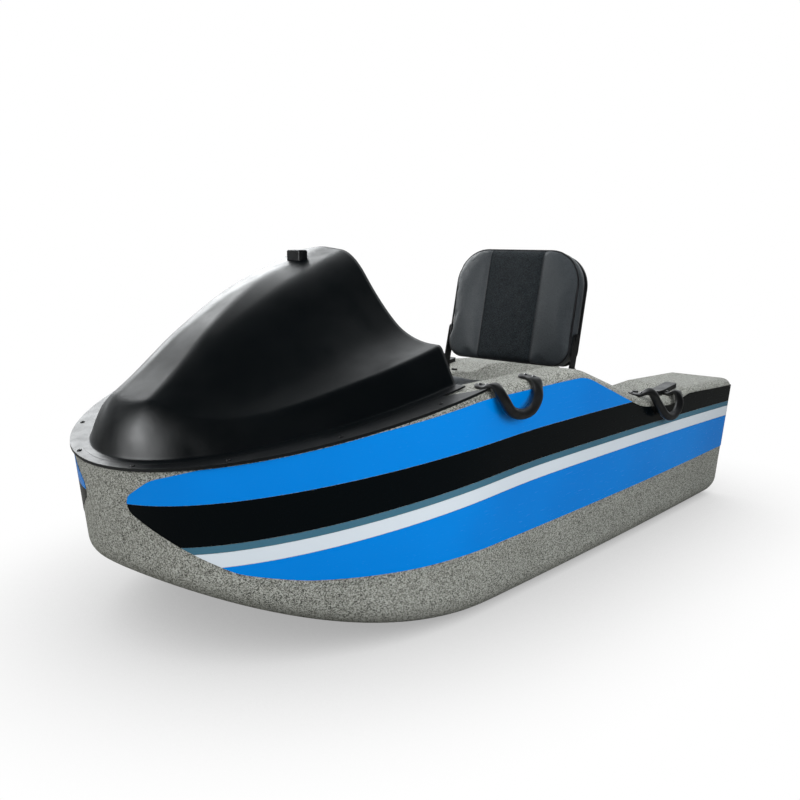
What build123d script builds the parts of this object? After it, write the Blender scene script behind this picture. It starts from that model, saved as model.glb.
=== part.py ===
from build123d import *
from math import cos, radians, sin, sqrt
import os

# Water kart in millimetres. +X points to the bow, +Y to port, +Z up.
# The origin is on the floor, under the middle of the overall box.

# Hull outline, seen from above at the level named with each size
bow_tip_x = 994.0
bow_centre_x = 314.0
hull_half_beam = 484.0
transom_x = -1001.0
transom_half_beam = 446.0
transom_corner = 40.0
bow_level = 395.0
beam_level = 450.0
transom_level = 378.0
bow_draft = 0.10
side_draft = 0.085
transom_rake = 0.05
loft_top = 560.0
beyond = 1200.0

# Hull profile, seen from the side
sheer_slope = 0.2015
flange_end_x = 380.0
crest_x = 0.0
crest_z = 524.0
notch_fore_x = -330.0
notch_fore_z = 410.0
notch_x = -520.0
notch_z = 383.0
block_x = -640.0
block_z = 397.0
block_rear_z = 369.0
rocker_start_x = 250.0
rocker_radius = 1500.0
chine_radius = 62.0
gunwale_radius = 27.0
rim_radius = 16.0

# Cockpit, foot well and the open channel in the stern
rim_width = 95.0
tub_draft = 25.0
tub_lean = 18.0
tub_rear_x = -430.0
tub_front_x = 790.0
tub_corner = 80.0
bench_z = 318.0
well_rear_x = 110.0
well_front_x = 700.0
well_ledge = 20.0
well_draft = 30.0
well_floor_z = 115.0
well_corner = 60.0
channel_z = 298.0
channel_half = 131.0
channel_top_half = 272.0
channel_top_z = 405.0

# Locker under the hatch in the channel
hatch_x = -745.0
hatch_length = 240.0
hatch_width = 170.0
hatch_land = 28.0
hatch_frame_thick = 6.0
lid_thick = 10.0
lid_seal = 0.3
locker_floor_z = 206.0
hinge_pin_radius = 4.0

# Jet drive under the stern
pump_z = 100.0
tunnel_half = 112.0
tunnel_top_z = 192.0
tunnel_front_x = -650.0
pump_flange_radius = 88.0
pump_radius = 75.0
pump_bore = 66.0
nozzle_radius = 46.0
nozzle_bore = 40.0
pump_end_x = -868.0
impeller_x = -705.0
impeller_length = 56.0
impeller_hub = 22.0
blade_radius = 60.0
blade_thick = 4.0
blade_count = 4
blade_twist = 70.0
shaft_radius = 9.0
shaft_clearance = 0.4
duct_half = 62.0
duct_front_x = -450.0
duct_roof_x = -600.0
grille_thick = 8.0
grille_half = 75.0
plate_thick = 7.0
plate_half = 125.0
keel_clearance = 1.0
steer_pivot_x = -860.0
steer_exit_x = -975.0
motor_rear_x = -430.0
motor_length = 260.0
motor_half = 85.0
motor_base_z = 42.0
motor_height = 196.0

# Colour films on the sides
film_gap = 0.3
film_thick = 0.8
film_seam = 0.8
film_crown_x = 100.0
film_aft_radius = 26000.0
film_rear_gap = 6.0
film_flange_drop = 3.0
film_top = [(640, 463), (380, 501), (-10, 504), (-330, 383), (-520, 361), (-640, 380), (-1200, 348)]
film_nose = [(300, 430), (135, 380), (55, 326), (175, 250), (262, 197), (345, 175), (440, 161)]

# Cowl over the bow
cowl_wall = 4.0
cowl_rear_x = 450.0
flange_tip_x = 1000.0
flange_half = 492.0
flange_thick = 6.0
ledge_tip = 18.0
ledge_side = 58.0
plinth_lean = 0.55
shelf_slope = 0.06

# Folding seat
seat_width = 451.0
seat_lean = 12.4
seat_front_x = 85.0
seat_rear_x = -345.0
seat_corner = 50.0
pan_inset = 25.5
pan_half = seat_width / 2 - pan_inset
pan_thick = 14.0
cushion_top_z = 400.0
cushion_edge = 20.0
back_foot_x = -340.0
back_foot_z = 460.0
back_height = 343.0
back_pad = 58.0
back_shell = 12.0
back_top_corner = 108.0
back_corner = 56.0
back_edge = 14.0
seat_gap = 0.3
hinge_x = -366.0
hinge_z = 446.0
hinge_gap = 5.0
hinge_plate = 5.0
arm_thick = 4.4
hinge_foot_x = -250.0
hinge_foot_width = 34.0
hinge_pin = 5.0
pin_clearance = 0.3
arm_top_x = -390.0
arm_top_z = 542.0
arm_half = 13.0

# Steering
wheel_x = 395.0
wheel_z = 600.0
wheel_radius = 125.0
wheel_grip = 12.0
wheel_hub = 30.0
wheel_boss = 22.0
column_angle = 25.0
column_radius = 20.0
column_start = 30.0
column_end = 232.0
steer_shaft = 12.0
dash_at = 188.0
dash_thick = 14.0
dash_outline = [(385, -80), (385, 8), (300, 26), (180, 88)]
dash_round = 24.0

# Gunwale handles: where they start, bend and end
handle_radius = 12.5
handle_bends = [16, 34, 34, 20]
front_handle = [(352, 448, 532.5), (362, 495, 530), (344, 511, 460), (240, 511, 460), (205, 497, 531), (196, 448, 535)]
rear_handle = [(-327, 426, 428), (-364, 478, 419), (-408, 491, 344), (-484, 491, 336), (-542, 478, 396), (-556, 426, 400)]
pad_length = 44.0
pad_inner_y = 430.0
pad_width = 32.0
pad_height = 11.0
bracket_front_x = -500.0
bracket_rear_x = -622.0
bracket_inner_y = 394.0
bracket_width = 36.0
bracket_height = 13.0
eyelets = [(-491, 298), (-507, 357)]
eyelet_length = 22.0
eyelet_width = 11.0
eyelet_height = 6.0

# Foot controls and small fittings
pedal_x = 600.0
pedal_y = -64.0
pedal_angle = 55.0
rest_x = 650.0
rest_y = 140.0
plug_y = -180.0
plug_z = 112.0
plug_radius = 15.0
plug_stand = 5.0


def hull_outline(z, grow=0.0):
    """The hull's plan at height z, moved outward by grow."""
    tip = bow_tip_x + bow_draft * (z - bow_level) + grow
    half = hull_half_beam + side_draft * (z - beam_level) + grow
    rear = transom_x - transom_rake * (z - transom_level) - grow
    rear_half = transom_half_beam + side_draft * (z - transom_level) + grow
    bow = EllipticalCenterArc((bow_centre_x, 0), tip - bow_centre_x, half, start_angle=-90, arc_size=180)
    port = TangentArc((bow_centre_x, half), (rear, rear_half), tangent=(-1, 0))
    stern = Line((rear, rear_half), (rear, -rear_half))
    starboard = mirror(port, about=Plane.XZ)
    face = make_face(bow + port + stern + starboard)
    corners = face.vertices().sort_by(Axis.X)[:2]
    return Pos(0, 0, z) * fillet(corners, transom_corner)


def hull_form(grow=0.0):
    """The drafted hull from the floor to above the sheer, with nothing cut from it."""
    return loft([hull_outline(0, grow), hull_outline(loft_top, grow)], ruled=True)


def flange_line(x):
    """Height of the hull's top under the cowl flange."""
    return bow_level + sheer_slope * (bow_tip_x - x)


def sheer_wire(drop=0.0):
    """The line of the hull's top, seen from the side."""
    points = [
        (beyond, flange_line(beyond) - drop),
        (flange_end_x, flange_line(flange_end_x) - drop),
        (crest_x, crest_z - drop),
        (notch_fore_x, notch_fore_z - drop),
        (notch_x, notch_z - drop),
        (block_x, block_z - drop),
        (-beyond, block_rear_z - drop),
    ]
    return FilletPolyline(*points, radius=[500, 260, 320, 200, 150])


def side_solid(line, end_points, half_width=beyond / 2):
    """A solid whose side view is the line, which runs aft, closed through the end points."""
    closing = Polyline(line @ 1, *end_points, line @ 0)
    return extrude(Plane.XZ * make_face(line + closing), half_width, both=True)


def box(x0, x1, y0, y1, z0, z1):
    return Pos((x0 + x1) / 2, (y0 + y1) / 2, (z0 + z1) / 2) * Box(x1 - x0, y1 - y0, z1 - z0)


def below_bottom():
    """What lies under the keel line: flat, then rising to the bow."""
    rise_x = bow_tip_x + 60
    run = rise_x - rocker_start_x
    rise_z = rocker_radius - sqrt(rocker_radius**2 - run**2)
    flat = Line((-beyond, 0), (rocker_start_x, 0))
    rise = TangentArc((rocker_start_x, 0), (rise_x, rise_z), tangent=(1, 0))
    return side_solid(flat + rise, [(rise_x, -50), (-beyond, -50)])


def outer_edges(faces):
    """The edges round a group of joined faces, without those between two of them."""
    edges = [edge for face in faces for edge in face.edges()]
    centres = [edge.center() for edge in edges]
    alone = []
    for edge in edges:
        twins = [centre for centre in centres if (centre - edge.center()).length < 0.01]
        if len(twins) == 1:
            alone.append(edge)
    return alone


def top_faces(solid, lowest):
    faces = solid.faces().filter_by(lambda face: face.normal_at(face.center()).Z > 0.7)
    return faces.filter_by(lambda face: face.center().Z > lowest)


def pocket(z0, grow0, z1, grow1, x0, x1, corner, draft):
    """A drafted hollow that follows the hull's outline between two stations."""
    faces = []
    for z, grow, lean in ((z0, grow0, 0), (z1, grow1, draft)):
        window = Pos((x0 + x1) / 2, 0, z) * Rectangle(x1 - x0 + 2 * lean, 2 * beyond)
        face = hull_outline(z, grow) & window
        faces.append(fillet(face.vertices().sort_by(Axis.X)[:2], corner))
    return loft(faces, ruled=True)


def rimmed(solid, hollow, radius, lowest):
    """The solid less the hollow, with the new rim rounded."""
    old = [edge.center() for edge in outer_edges(top_faces(solid, lowest))]
    cut = solid - hollow
    rim = []
    for edge in outer_edges(top_faces(cut, lowest)):
        if all((edge.center() - centre).length > 0.01 for centre in old):
            rim.append(edge)
    return fillet(rim, radius)


def channel():
    """The open channel from the cockpit through the transom."""
    side = [(channel_half, channel_z), (channel_top_half, channel_top_z), (channel_top_half, loft_top)]
    outline = [(-y, z) for y, z in reversed(side)] + side
    profile = Plane.YZ * make_face(Polyline(*outline, close=True))
    return Pos(-beyond, 0, 0) * extrude(profile, beyond + tub_rear_x + tub_corner)


def motor_space():
    x0 = motor_rear_x
    return box(x0, x0 + motor_length, -motor_half, motor_half, motor_base_z, motor_base_z + motor_height)


def drive_space():
    """The tunnel for the pump, the intake duct, and the seats of the plate and the grille."""
    tunnel = box(-beyond, tunnel_front_x, -tunnel_half, tunnel_half, -1, tunnel_top_z)
    roof_z = pump_z + duct_half
    duct_points = [
        (tunnel_front_x - 1, -1),
        (tunnel_front_x - 1, roof_z),
        (duct_roof_x, roof_z),
        (duct_front_x, -1),
    ]
    duct = extrude(Plane.XZ * make_face(Polyline(*duct_points, close=True)), duct_half, both=True)
    plate_seat = plate_half + film_gap
    plate = box(-beyond, tunnel_front_x, -plate_seat, plate_seat, -1, keel_clearance + plate_thick)
    grille_seat = grille_half + film_gap
    grille_z = keel_clearance + grille_thick
    grille = box(tunnel_front_x - 1, duct_front_x + 12, -grille_seat, grille_seat, -1, grille_z)
    bore = Pos(0, 0, pump_z) * Rot(0, 90, 0) * Cylinder(shaft_radius + shaft_clearance, 2 * abs(duct_roof_x))
    bore = bore & box(tunnel_front_x, motor_rear_x + 1, -50, 50, 0, loft_top)
    return tunnel + duct + plate + grille + bore


def hull():
    body = hull_form() - below_bottom()
    bottom = body.faces().filter_by(lambda face: face.normal_at(face.center()).Z < -0.7)
    body = fillet(outer_edges(bottom), chine_radius)
    body = body - side_solid(sheer_wire(), [(-beyond, 2 * loft_top), (beyond, 2 * loft_top)])
    sharp = body
    body = fillet(outer_edges(top_faces(body, channel_z)), gunwale_radius)
    bow_part = box(flange_end_x, beyond, -beyond, beyond, -1, 2 * loft_top)
    body = (body - bow_part) + (sharp & bow_part)
    tub_grow = -rim_width - tub_draft
    tub = pocket(bench_z, tub_grow, loft_top, -rim_width, tub_rear_x, tub_front_x, tub_corner, tub_lean)
    well_grow = tub_grow - well_ledge
    well_low = well_grow - well_draft
    well = pocket(well_floor_z, well_low, bench_z + 1, well_grow, well_rear_x, well_front_x, well_corner, 0)
    body = rimmed(body, tub + channel(), rim_radius, channel_z + 40)
    locker_x = hatch_length / 2
    locker_y = hatch_width / 2
    locker = box(hatch_x - locker_x, hatch_x + locker_x, -locker_y, locker_y, locker_floor_z, channel_z + 1)
    return body - well - locker - drive_space() - motor_space()


def film_line(edge, shift):
    """An edge line seen from the side: two arcs that meet at its crown."""
    crown_z = edge[0] + shift
    fore_x = bow_tip_x + 30
    fore_drop = edge[1] - sqrt(edge[1] ** 2 - (fore_x - film_crown_x) ** 2)
    aft_drop = film_aft_radius - sqrt(film_aft_radius**2 - (beyond + film_crown_x) ** 2)
    crown = (film_crown_x, crown_z)
    fore = TangentArc(crown, (fore_x, crown_z - fore_drop), tangent=(1, 0))
    aft = TangentArc(crown, (-beyond, crown_z - aft_drop), tangent=(-1, 0))
    return fore, aft


def film_band(upper, lower):
    """The strip between two edge lines, less half a seam at each."""
    over_fore, over_aft = film_line(upper, -film_seam / 2)
    under_fore, under_aft = film_line(lower, film_seam / 2)
    ends = [Line(over_fore @ 1, under_fore @ 1), Line(over_aft @ 1, under_aft @ 1)]
    outline = [over_fore, over_aft, under_fore, under_aft, *ends]
    return extrude(Plane.XZ * make_face(outline), -beyond)


def film_window():
    """Where the films lie, seen from the bow: a rounded nose that widens aft."""
    points = [(beyond, 780), *film_nose, (beyond, 158)]
    edge = FilletPolyline(*points, radius=[150, 90, 26, 90, 90, 90, 200])
    face = Plane.YZ * make_face(edge + Line(edge @ 1, edge @ 0))
    return Pos(-beyond, 0, 0) * extrude(face, 2 * beyond)


def film_limits():
    """What lies above the films' top line, and aft of their raked rear end."""
    points = [(beyond, flange_line(beyond) - film_flange_drop), *film_top]
    top = FilletPolyline(*points, radius=[500, 500, 230, 320, 200, 150])
    above = side_solid(top, [(-beyond, 2 * loft_top), (beyond, 2 * loft_top)])
    foot_x = transom_x + film_rear_gap + transom_rake * transom_level
    head_x = foot_x - transom_rake * loft_top
    rear = upright([(foot_x, 0), (head_x, loft_top), (-beyond, loft_top), (-beyond, 0)], -beyond, beyond)
    return above + rear


def film_skin():
    """The port side's whole film, before it is parted into bands."""
    shell = hull_form(film_gap + film_thick) - hull_form(film_gap)
    return (shell & film_window()) - film_limits()


def flange_plan(ledge_x, ledge_y):
    """A solid column on the ellipse inside the flange's edge by the two ledges."""
    across = flange_tip_x - bow_centre_x - ledge_x
    ellipse = Pos(bow_centre_x, 0) * Ellipse(across, flange_half - ledge_y)
    return Pos(0, 0, bow_level - 60) * extrude(ellipse, 2 * loft_top)


def flange_slab(drop, rise):
    """The slab between two planes parallel to the flange's underside."""
    points = [(beyond, flange_line(beyond) + drop), (0, flange_line(0) + drop)]
    points += [(0, flange_line(0) + rise), (beyond, flange_line(beyond) + rise)]
    return extrude(Plane.XZ * make_face(Polyline(*points, close=True)), beyond / 2, both=True)


# Sections of the cowl's roof.
# x, half width and height of the crown's edge and of the haunch, half width of the flank's foot,
# and how far the shelf at the foot lies above the flange
roof_table = [
    (390, 8, 807, 103, 797, 284, 84),
    (450, 8, 787, 104, 776, 284, 82),
    (600, 14, 732, 108, 712, 284, 70),
    (740, 40, 650, 104, 628, 243, 50),
    (850, 56, 562, 98, 547, 193, 36),
    (950, 60, 490, 95, 481, 140, 18),
    (1030, 60, 420, 95, 411, 135, 4),
]
crown_round = 18.0
haunch_round = 60.0
flank_round = 0.8
foot_round = 0.3
flank_across = 0.57
flank_up = 0.29


def roof_section(row, inset):
    x, crown, crown_z, haunch, haunch_z, foot, rise = row
    foot_z = flange_line(x) + flange_thick + rise
    flank = haunch + flank_across * (foot - haunch)
    flank_z = foot_z + flank_up * (haunch_z - foot_z)
    side = [(crown, crown_z), (haunch, haunch_z), (flank, flank_z), (foot, foot_z)]
    side += [(beyond / 2, foot_z - shelf_slope * (beyond / 2 - foot)), (beyond / 2, 0)]
    outline = side + [(-y, z) for y, z in reversed(side)]
    face = make_face(Polyline(*outline, close=True))
    width = foot - haunch
    rounds = [(crown, crown_round), (haunch, haunch_round)]
    rounds += [(flank, flank_round * width), (foot, foot_round * width)]
    for half, radius in rounds:
        corners = [v for v in face.vertices() if abs(abs(v.X) - half) < 0.01 and v.Y > 10]
        face = fillet(corners, radius)
    if inset:
        face = offset(face, -inset, kind=Kind.INTERSECTION)
    return Plane(origin=(x, 0, 0), x_dir=(0, 1, 0), z_dir=(1, 0, 0)) * face


def plinth_outline(inset, rise):
    """The plinth's ellipse in a plane parallel to the flange, above it by rise."""
    slant = sqrt(1 + sheer_slope**2)
    centre = (bow_centre_x, 0, flange_line(bow_centre_x) + rise)
    plane = Plane(origin=centre, x_dir=(1, 0, -sheer_slope), z_dir=(sheer_slope, 0, 1))
    inward = inset + plinth_lean * rise
    across = flange_tip_x - bow_centre_x - ledge_tip - inward
    return plane * make_face(Ellipse(across * slant, flange_half - ledge_side - inward).edge())


def cowl_form(inset):
    """The cowl's closed form, inset from its outside: the roof, within a plinth that leans in."""
    roof = loft([roof_section(row, inset) for row in roof_table])
    return roof & loft([plinth_outline(inset, -12), plinth_outline(inset, 320)], ruled=True)


def cowl():
    """A thin moulding, open at the rear and below, with a flange that ends in two points aft."""
    front = box(cowl_rear_x, beyond, -beyond, beyond, 0, 2 * loft_top)
    shell = (cowl_form(0) & flange_slab(1, loft_top) & front) - cowl_form(cowl_wall)
    mid_wall = cowl_wall / 2
    flange = flange_plan(0, 0) - flange_plan(ledge_tip + mid_wall, ledge_side + mid_wall)
    flange = flange & flange_slab(0, flange_thick)
    root_y = flange_half - ledge_side - mid_wall
    tail = [(cowl_rear_x, 0), (cowl_rear_x, root_y), (flange_end_x, flange_half)]
    tail += [(flange_end_x, beyond), (-beyond, beyond), (-beyond, 0)]
    tail_cut = extrude(make_face(Polyline(*tail, close=True)), 2 * loft_top)
    return shell + (flange - both_sides(tail_cut))


def cowl_cap():
    """The small clip on the cowl's apex."""
    clip = Pos(cowl_rear_x + 12, 0, 790) * Box(26, 52, 24)
    clip = fillet(clip.edges().filter_by(Axis.Z), 9)
    clip = fillet(clip.faces().sort_by(Axis.Z)[-1].edges(), 4)
    return clip - cowl_form(-film_gap)


def both_sides(shape):
    return shape + mirror(shape, about=Plane.XZ)


def round_block(x0, x1, y0, y1, z0, z1, corner, edge=0.0):
    """A block with its upright corners rounded, and its top and bottom edges too if asked."""
    block = box(x0, x1, y0, y1, z0, z1)
    block = fillet(block.edges().filter_by(Axis.Z), corner)
    if edge:
        ends = block.faces().sort_by(Axis.Z)
        block = fillet(ends[0].edges() + ends[-1].edges(), edge)
    return block


def tube_along(points, radii, radius):
    path = FilletPolyline(*points, radius=radii)
    start = Plane(origin=path @ 0, z_dir=path % 0)
    return sweep(start * Circle(radius), path=path)


def turned(points):
    """A solid turned about the pump's axis, from points of x and radius."""
    profile = make_face(Polyline(*points, close=True))
    return Pos(0, 0, pump_z) * revolve(profile, Axis.X)


def seat_pan():
    return round_block(seat_rear_x, seat_front_x, -pan_half, pan_half, bench_z, bench_z + pan_thick, seat_corner)


def seat_cushion():
    half = seat_width / 2
    base_z = bench_z + pan_thick + seat_gap
    return round_block(
        seat_rear_x, seat_front_x, -half, half, base_z, cushion_top_z, seat_corner, cushion_edge
    )


def upright(points, y0, y1):
    """A plate across Y whose side view has these corners."""
    plate = extrude(Plane.XZ * make_face(Polyline(*points, close=True)), y0 - y1)
    return Pos(0, y0, 0) * plate


def cross_pin(x, z, radius, y0, y1):
    return Pos(x, (y0 + y1) / 2, z) * Rot(90, 0, 0) * Cylinder(radius, y1 - y0)


def hinge_side():
    """Where the hinge plate starts, counted out from the middle of the seat."""
    return seat_width / 2 + hinge_gap


def seat_hinges():
    """A bracket each side, from its foot on the bench up to its pin."""
    y0 = hinge_side()
    y1 = y0 + hinge_plate
    rear_x = hinge_x - 17
    points = [(hinge_foot_x, bench_z), (hinge_foot_x, bench_z + 24), (hinge_x + 20, hinge_z + 12)]
    points += [(hinge_x, hinge_z + 17), (rear_x, hinge_z + 8), (rear_x, bench_z)]
    bracket = upright(points, y0, y1)
    foot = box(rear_x, hinge_foot_x, y0, y0 + hinge_foot_width, bench_z, bench_z + hinge_plate)
    pin = cross_pin(hinge_x, hinge_z, hinge_pin, y0 - arm_thick, y1 + 3)
    return both_sides(bracket + foot + pin)


def back_plane(behind):
    """The plane of the backrest's front, or one that lies behind it."""
    lean = radians(seat_lean)
    origin = (back_foot_x - behind * cos(lean), 0, back_foot_z - behind * sin(lean))
    return Plane(origin=origin, x_dir=(0, 1, 0), z_dir=(cos(lean), 0, sin(lean)))


def back_slab(front, thick, inset, edge):
    """A rounded slab of the backrest, its front face set back by front."""
    face = Pos(0, back_height / 2) * Rectangle(seat_width - 2 * inset, back_height - 2 * inset)
    corners = face.vertices().sort_by(Axis.Y)
    face = fillet(corners[:2], back_corner - inset)
    face = fillet(face.vertices().sort_by(Axis.Y)[-2:], back_top_corner - inset)
    slab = extrude(back_plane(front) * face, -thick)
    rims = slab.faces().sort_by(SortBy.AREA)[-2:]
    return fillet(rims[0].edges() + rims[1].edges(), edge)


def backrest_cushion():
    return back_slab(0, back_pad, 0, back_edge)


def backrest_shell():
    return back_slab(back_pad + seat_gap, back_shell, 8, 3)


def backrest_arms():
    """A flat arm each side, from the hinge pin to a boss on the backrest's side."""
    y0 = seat_width / 2 + seat_gap
    y1 = y0 + arm_thick
    run = Vector(arm_top_x - hinge_x, arm_top_z - hinge_z)
    angle = Vector(1, 0).get_signed_angle(run, Vector(0, 0, 1))
    middle = ((hinge_x + arm_top_x) / 2, (hinge_z + arm_top_z) / 2)
    slot = Pos(*middle) * Rot(0, 0, angle) * SlotCenterToCenter(run.length, 2 * arm_half)
    arm = Pos(0, y0, 0) * extrude(Plane.XZ * slot, y0 - y1)
    boss = cross_pin(arm_top_x, arm_top_z, arm_half - 3, y0, y1 + 2)
    eye = cross_pin(hinge_x, hinge_z, hinge_pin + pin_clearance, y0 - 1, y1 + 1)
    return both_sides(arm + boss - eye)


def column_plane(along):
    """A plane across the steering axis, counted forward from the wheel's centre."""
    angle = radians(column_angle)
    origin = (wheel_x + along * cos(angle), 0, wheel_z - along * sin(angle))
    return Plane(origin=origin, x_dir=(0, 1, 0), z_dir=(cos(angle), 0, -sin(angle)))


def steering_wheel():
    rim = Torus(wheel_radius, wheel_grip)
    hub = Pos(0, 0, 8) * Cylinder(wheel_hub, 26)
    wheel = rim + hub
    for angle in (30, 150, 270):
        spoke = Pos(wheel_radius / 2, 0, 4) * Box(wheel_radius, 22, 8)
        wheel = wheel + Rot(0, 0, angle) * spoke
    return column_plane(0).location * wheel


def wheel_cap():
    cap = fillet(Cylinder(wheel_boss, 10).faces().sort_by(Axis.Z)[0].edges(), 3)
    return column_plane(-10).location * cap


def steering_shaft():
    length = column_end - 21
    return column_plane(21 + length / 2).location * Cylinder(steer_shaft, length)


def steering_column():
    """The fixed tube round the shaft, with its collar against the dash."""
    length = column_end - column_start
    tube = column_plane(column_start + length / 2).location * Cylinder(column_radius, length)
    collar = column_plane(dash_at - 6).location * Cylinder(column_radius + 16, 12)
    bore = column_plane(column_start + length / 2).location * Cylinder(steer_shaft + shaft_clearance, length + 2)
    return tube + collar - bore


def dash_panel():
    """The panel under the cowl, across the cockpit, that carries the column."""
    outline = dash_outline + [(-y, z) for y, z in reversed(dash_outline)]
    face = make_face(Polyline(*outline, close=True))
    uppers = [v for v in face.vertices() if v.Y > 0]
    panel = extrude(face_on_dash(fillet(uppers, dash_round)), dash_thick)
    hole = column_plane(dash_at).location * Cylinder(column_radius + film_gap, 4 * dash_thick)
    return (panel - hole) & flange_slab(0, loft_top) & cowl_form(cowl_wall + seat_gap)


def face_on_dash(face):
    """Puts a drawing, whose Y runs up the dash, on the dash's rear face."""
    angle = radians(column_angle)
    origin = column_plane(dash_at).origin
    return Plane(origin=origin, x_dir=(0, 1, 0), z_dir=(cos(angle), 0, -sin(angle))) * face


def dash_display():
    """A plain hooded display on the dash, to starboard of the column."""
    face = Pos(-110, 34) * RectangleRounded(96, 56, 10)
    display = extrude(face_on_dash(face), -14)
    return fillet(display.faces().sort_by(Axis.X)[0].edges(), 3)


def throttle_pedal():
    """A pedal pad on a foot, on the floor of the foot well."""
    angle = radians(pedal_angle)
    length = 130.0
    thick = 8.0
    x0 = pedal_x
    rise = length * sin(angle)
    run = length * cos(angle)
    points = [(x0, well_floor_z), (x0 + run, well_floor_z + rise)]
    points += [(x0 + run + thick, well_floor_z + rise), (x0 + thick * 2, well_floor_z)]
    pad = upright(points, pedal_y - 36, pedal_y + 36)
    foot = box(x0 - 20, x0 + 60, pedal_y - 30, pedal_y + 30, well_floor_z, well_floor_z + 6)
    return pad + foot


def foot_rests():
    """A moulded wedge each side at the end of the foot well."""
    x0 = rest_x - 45
    points = [(x0, well_floor_z), (x0 + 35, well_floor_z + 90), (x0 + 50, well_floor_z + 90)]
    points += [(x0 + 62, well_floor_z)]
    return both_sides(upright(points, rest_y - 34, rest_y + 34))


def on_deck(x0, x1, y0, y1, height, corner):
    """A low block with its underside and top parallel to the gunwale's top."""
    block = round_block(x0, x1, y0, y1, notch_z - 60, crest_z + 60, corner)
    over = side_solid(sheer_wire(-height), [(-beyond, 2 * loft_top), (beyond, 2 * loft_top)])
    under = side_solid(sheer_wire(-seat_gap), [(-beyond, -50), (beyond, -50)])
    return block - over - under


def front_handles():
    """A grip each side, bent out over the gunwale between its two end pads."""
    grip = tube_along(front_handle, handle_bends, handle_radius)
    for end in (front_handle[0], front_handle[-1]):
        x0 = end[0] - pad_length / 2
        y1 = pad_inner_y + pad_width
        grip = grip + on_deck(x0, x0 + pad_length, pad_inner_y, y1, pad_height, 10)
    return both_sides(grip)


def rear_handles():
    grip = tube_along(rear_handle, handle_bends, handle_radius)
    x0 = rear_handle[0][0] - pad_length / 2
    pad = on_deck(x0, x0 + pad_length + 18, pad_inner_y - 18, pad_inner_y + 8, pad_height, 8)
    deck = side_solid(sheer_wire(-seat_gap), [(-beyond, -50), (beyond, -50)], pad_inner_y + 4)
    return both_sides(grip + pad - deck - rear_bracket(seat_gap))


def rear_bracket(grow):
    y0 = bracket_inner_y - grow
    y1 = bracket_inner_y + bracket_width + grow
    return on_deck(bracket_rear_x - grow, bracket_front_x + grow, y0, y1, bracket_height + grow, 8)


def rear_handle_brackets():
    return both_sides(rear_bracket(0))


def deck_eyelets():
    pads = Part()
    for x, y in eyelets:
        x0 = x - eyelet_length / 2
        y0 = y - eyelet_width / 2
        pads = pads + on_deck(x0, x0 + eyelet_length, y0, y0 + eyelet_width, eyelet_height, 3)
    return both_sides(pads)


def hatch_frame():
    half_x = hatch_length / 2
    half_y = hatch_width / 2
    outer_x = half_x + hatch_land
    outer_y = half_y + hatch_land
    z0 = channel_z
    z1 = channel_z + hatch_frame_thick
    ring = round_block(hatch_x - outer_x, hatch_x + outer_x, -outer_y, outer_y, z0, z1, 20)
    return ring - box(hatch_x - half_x, hatch_x + half_x, -half_y, half_y, z0 - 1, z1 + 1)


def lid_axis():
    """Y and Z of the hatch hinge."""
    return -(hatch_width / 2 + hatch_land) - 7, channel_z + hatch_frame_thick + lid_thick / 2


def along_pin(x0, x1, radius):
    y, z = lid_axis()
    return Pos((x0 + x1) / 2, y, z) * Rot(0, 90, 0) * Cylinder(radius, x1 - x0)


hinge_spots = (hatch_x - 85, hatch_x + 85)
knuckle = 7.0
knuckle_half = 9.0


def hatch_lid():
    outer_x = hatch_length / 2 + hatch_land
    outer_y = hatch_width / 2 + hatch_land
    z0 = channel_z + hatch_frame_thick + lid_seal
    z1 = z0 + lid_thick
    lid = round_block(hatch_x - outer_x, hatch_x + outer_x, -outer_y + 2, outer_y, z0, z1, 20)
    lid = fillet(lid.faces().sort_by(Axis.Z)[-1].edges(), 3)
    y, z = lid_axis()
    for x in hinge_spots:
        for side in (-1, 1):
            x0 = x + side * (knuckle_half + pin_clearance + knuckle_half / 2) - knuckle_half / 2
            tab = box(x0, x0 + knuckle_half, y, -outer_y + 22, z - 3, z1 - 1)
            lid = lid + tab + along_pin(x0, x0 + knuckle_half, knuckle)
        lid = lid - along_pin(x - 3 * knuckle_half, x + 3 * knuckle_half, hinge_pin_radius + pin_clearance)
        lid = lid - box(x - knuckle_half - pin_clearance, x + knuckle_half + pin_clearance, y - 9, y + 9, 0, 400)
    return lid


def hatch_hinges():
    """A fixed knuckle with its pin and foot, for each of the lid's two hinges."""
    y, z = lid_axis()
    hinges = Part()
    for x in hinge_spots:
        foot = box(x - knuckle_half, x + knuckle_half, y - 4.5, y + 6, channel_z, channel_z + 3)
        web = box(x - knuckle_half, x + knuckle_half, y - 4.5, y + 5, channel_z, z)
        pin = along_pin(x - 2 * knuckle_half, x + 2 * knuckle_half, hinge_pin_radius)
        hinges = hinges + (foot + web + along_pin(x - knuckle_half, x + knuckle_half, knuckle) + pin)
    return hinges


def hatch_latches():
    """Two turn latches on the lid's port edge."""
    top_z = channel_z + hatch_frame_thick + lid_seal + lid_thick
    edge_y = hatch_width / 2 + hatch_land
    latches = Part()
    for x in hinge_spots:
        latch = round_block(x - 18, x + 18, edge_y - 22, edge_y - 8, top_z, top_z + 6, 6, 1.5)
        latches = latches + latch
    return latches


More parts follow.
